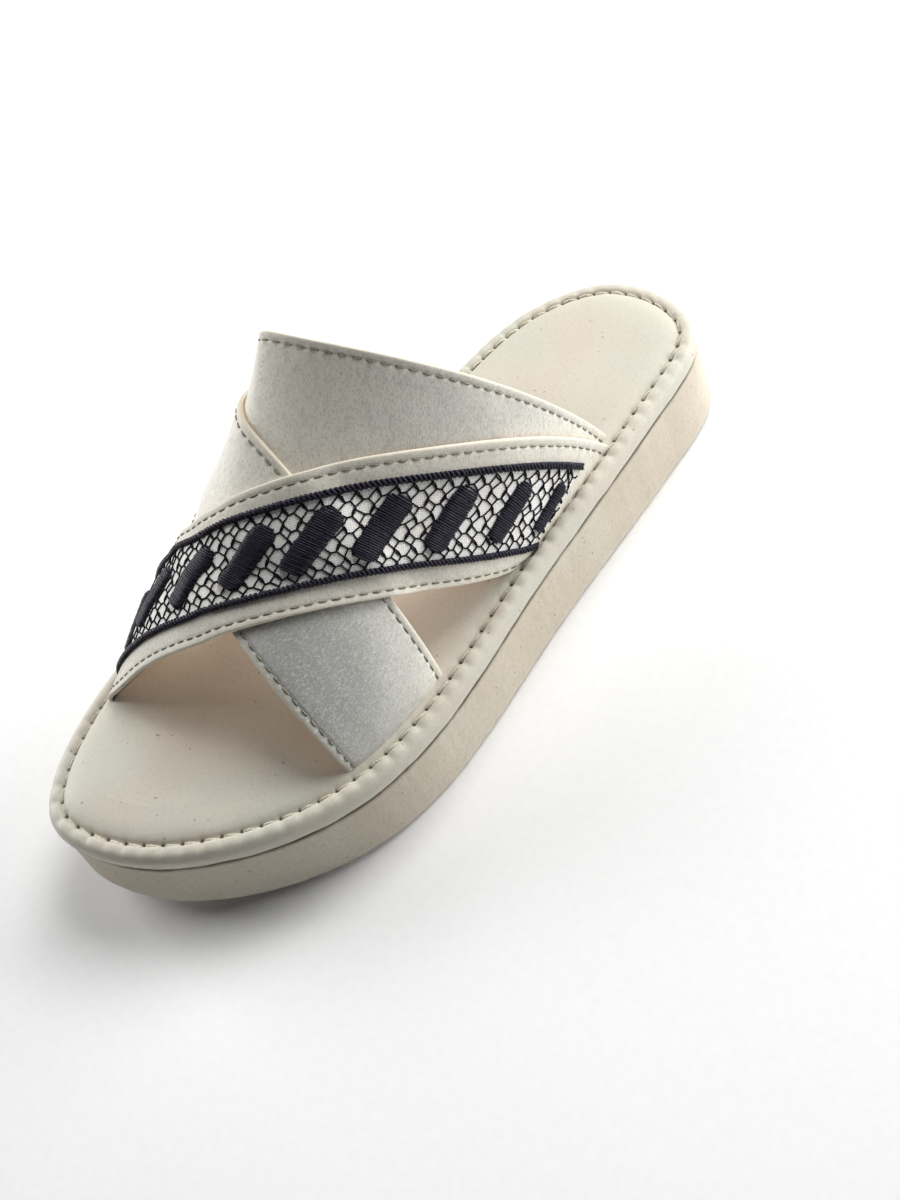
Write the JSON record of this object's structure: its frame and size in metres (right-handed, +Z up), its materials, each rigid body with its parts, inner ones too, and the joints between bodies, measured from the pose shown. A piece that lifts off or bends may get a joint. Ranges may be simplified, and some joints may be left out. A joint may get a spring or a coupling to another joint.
{
  "type": "arabic sandal",
  "caption": "Left cross-strap slide sandal: a thick foam sole, a stitched leather footbed with a rolled edge, and an open strap upper with an embroidered band.",
  "frame": {"origin": "on the floor, under the middle of the sandal's length and width", "axes": "+X to the wearer's right, the inner side of this left sandal; +Y from heel to toe; +Z up"},
  "size_m": [0.117, 0.2846, 0.126],
  "materials": {
    "outsole": "matte moulded foam with fine pores",
    "footbed": "smooth coated leather, slight sheen",
    "strap_leather": "brushed nubuck, dry and matte"
  },
  "bodies": {
    "root": {"outsole": "outsole", "insole": "footbed", "upper": "strap_leather"}
  },
  "joints": []
}
